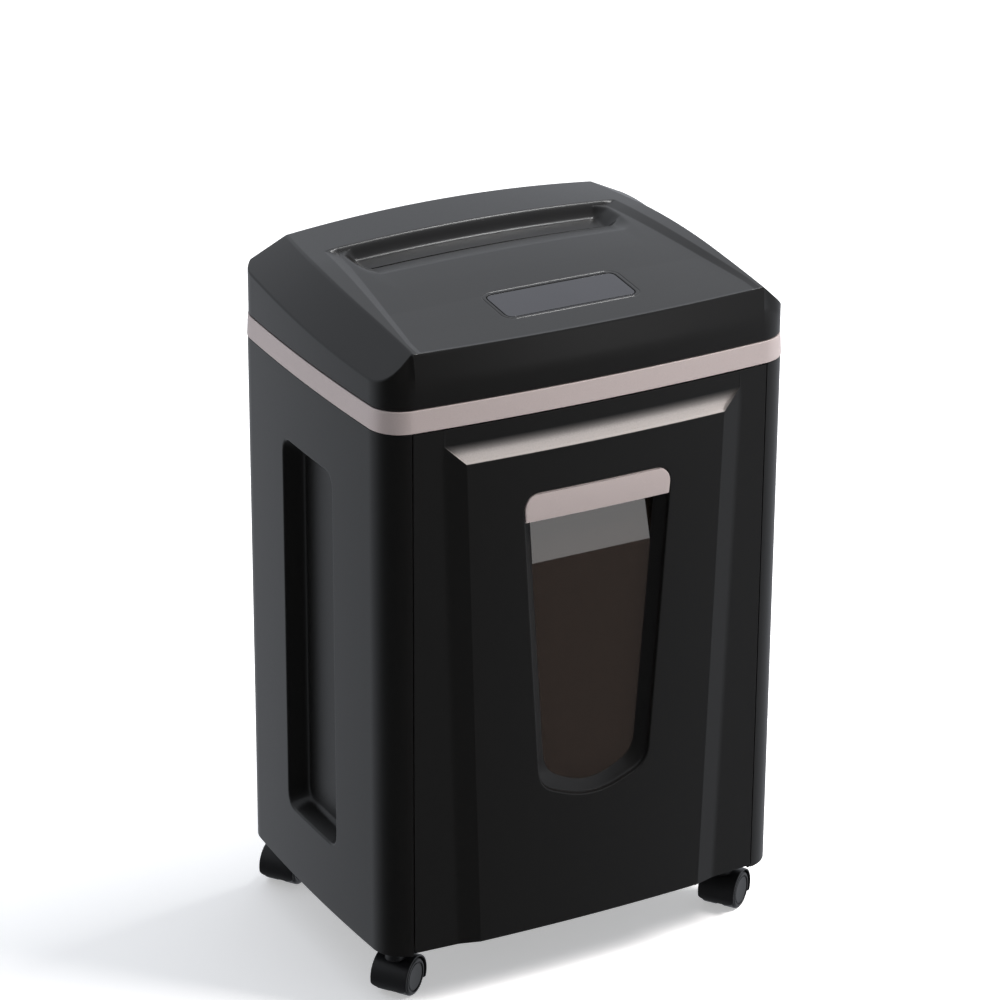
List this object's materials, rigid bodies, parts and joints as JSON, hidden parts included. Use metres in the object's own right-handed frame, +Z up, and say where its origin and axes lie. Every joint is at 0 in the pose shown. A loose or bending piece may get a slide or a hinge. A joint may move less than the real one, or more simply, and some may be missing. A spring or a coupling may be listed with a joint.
{
  "type": "paper shredder",
  "caption": "Floor-standing cross-cut paper shredder: arched top with feed slot and touch panel, silver band, pull-out bin with smoked window, swivel casters.",
  "frame": {"origin": "on the floor, under the middle of the machine", "axes": "+Z up, -Y is the front with the door, +X is on the right seen from the front"},
  "size_m": [0.3856, 0.2999, 0.6172],
  "materials": {
    "black_abs": "textured black ABS moulding",
    "dark_abs": "plain dark grey moulding",
    "caster_nylon": "smooth black nylon",
    "silver_paint": "satin silver paint on plastic",
    "panel_gloss": "gloss black touch panel",
    "smoked_lens": "smoked transparent polycarbonate",
    "steel": "zinc-plated steel",
    "hardened_steel": "hardened cutter steel",
    "motor_steel": "painted motor can",
    "natural_nylon": "natural nylon moulding",
    "circuit_board": "green circuit board",
    "bronze": "sintered bronze"
  },
  "bodies": {
    "cabinet": {"right_side_panel": "black_abs", "left_side_panel": "black_abs", "rear_panel": "black_abs", "base_plate": "dark_abs", "left_runner": "dark_abs", "right_runner": "dark_abs", "trim_band": "silver_paint", "top_cover": "black_abs", "control_panel": "panel_gloss", "head_tray": "dark_abs", "feed_guide": "dark_abs", "paper_sensor": "dark_abs", "left_cutter_plate": "steel", "right_cutter_plate": "steel", "front_tie_rod": "steel", "rear_tie_rod": "steel", "front_left_bush": "bronze", "front_right_bush": "bronze", "rear_left_bush": "bronze", "rear_right_bush": "bronze", "intermediate_axle": "steel", "gear_end_plate": "steel", "motor": "motor_steel", "front_stripper_comb": "natural_nylon", "rear_stripper_comb": "natural_nylon", "control_board": "circuit_board", "mains_inlet": "dark_abs", "switch_bezel": "dark_abs", "interlock_switch": "dark_abs"},
    "drawer": {"door_panel": "black_abs", "handle_plate": "silver_paint", "window_lens": "smoked_lens", "waste_bin": "dark_abs"},
    "front_cutter": {"front_cutter_shaft": "hardened_steel", "front_sync_gear": "steel", "drive_gear": "steel"},
    "rear_cutter": {"rear_cutter_shaft": "hardened_steel", "rear_sync_gear": "steel"},
    "intermediate": {"intermediate_gear": "natural_nylon"},
    "rotor": {"motor_shaft": "steel", "motor_pinion": "steel", "cooling_fan": "natural_nylon"},
    "rocker": {"rocker_switch": "dark_abs"},
    "plunger": {"interlock_plunger": "natural_nylon"},
    "front_left_caster": {"front_left_caster_fork": "caster_nylon"},
    "front_left_wheels": {"front_left_caster_axle": "steel", "front_left_caster_outer_wheel": "caster_nylon", "front_left_caster_inner_wheel": "caster_nylon"},
    "front_right_caster": {"front_right_caster_fork": "caster_nylon"},
    "front_right_wheels": {"front_right_caster_axle": "steel", "front_right_caster_outer_wheel": "caster_nylon", "front_right_caster_inner_wheel": "caster_nylon"},
    "rear_right_caster": {"rear_right_caster_fork": "caster_nylon"},
    "rear_right_wheels": {"rear_right_caster_axle": "steel", "rear_right_caster_outer_wheel": "caster_nylon", "rear_right_caster_inner_wheel": "caster_nylon"},
    "rear_left_caster": {"rear_left_caster_fork": "caster_nylon"},
    "rear_left_wheels": {"rear_left_caster_axle": "steel", "rear_left_caster_outer_wheel": "caster_nylon", "rear_left_caster_inner_wheel": "caster_nylon"}
  },
  "joints": [
    {"name": "drawer_slide", "type": "slide", "parent": "cabinet", "child": "drawer", "axis": [0, -1, 0], "range_m": [0, 0.24]},
    {"name": "front_cutter_spin", "type": "hinge", "parent": "cabinet", "child": "front_cutter", "pos_m": [0, 0.029, 0.53], "axis": [1, 0, 0], "continuous": true},
    {"name": "rear_cutter_spin", "type": "hinge", "parent": "cabinet", "child": "rear_cutter", "pos_m": [0, 0.061, 0.53], "axis": [1, 0, 0], "continuous": true},
    {"name": "intermediate_spin", "type": "hinge", "parent": "cabinet", "child": "intermediate", "pos_m": [0.13, -0.0172, 0.51224], "axis": [1, 0, 0], "continuous": true},
    {"name": "rotor_spin", "type": "hinge", "parent": "cabinet", "child": "rotor", "pos_m": [0.05, -0.05, 0.486], "axis": [1, 0, 0], "continuous": true},
    {"name": "rocker_tilt", "type": "hinge", "parent": "cabinet", "child": "rocker", "pos_m": [0.054, 0.138, 0.492], "axis": [1, 0, 0], "range_deg": [0, 16]},
    {"name": "plunger_press", "type": "slide", "parent": "cabinet", "child": "plunger", "axis": [0, 1, 0], "range_m": [0, 0.003], "stiffness_N_per_m": 150, "springref_m": -0.003},
    {"name": "front_left_swivel", "type": "hinge", "parent": "cabinet", "child": "front_left_caster", "pos_m": [-0.161, -0.095, 0.045], "axis": [0, 0, 1], "continuous": true},
    {"name": "front_left_roll", "type": "hinge", "parent": "front_left_caster", "child": "front_left_wheels", "pos_m": [-0.15609, -0.09155, 0.017], "axis": [0.575, -0.8181, 0], "continuous": true},
    {"name": "front_right_swivel", "type": "hinge", "parent": "cabinet", "child": "front_right_caster", "pos_m": [0.161, -0.095, 0.045], "axis": [0, 0, 1], "continuous": true},
    {"name": "front_right_roll", "type": "hinge", "parent": "front_right_caster", "child": "front_right_wheels", "pos_m": [0.16591, -0.09155, 0.017], "axis": [0.575, -0.8181, 0], "continuous": true},
    {"name": "rear_right_swivel", "type": "hinge", "parent": "cabinet", "child": "rear_right_caster", "pos_m": [0.161, 0.124, 0.045], "axis": [0, 0, 1], "continuous": true},
    {"name": "rear_right_roll", "type": "hinge", "parent": "rear_right_caster", "child": "rear_right_wheels", "pos_m": [0.16591, 0.12745, 0.017], "axis": [0.575, -0.8181, 0], "continuous": true},
    {"name": "rear_left_swivel", "type": "hinge", "parent": "cabinet", "child": "rear_left_caster", "pos_m": [-0.161, 0.124, 0.045], "axis": [0, 0, 1], "continuous": true},
    {"name": "rear_left_roll", "type": "hinge", "parent": "rear_left_caster", "child": "rear_left_wheels", "pos_m": [-0.15609, 0.12745, 0.017], "axis": [0.575, -0.8181, 0], "continuous": true}
  ],
  "couplings": [
    {"joint": "rear_cutter_spin", "follows": "front_cutter_spin", "ratio": -1},
    {"joint": "intermediate_spin", "follows": "front_cutter_spin", "ratio": -2.1429},
    {"joint": "rotor_spin", "follows": "front_cutter_spin", "ratio": 6.4286}
  ]
}
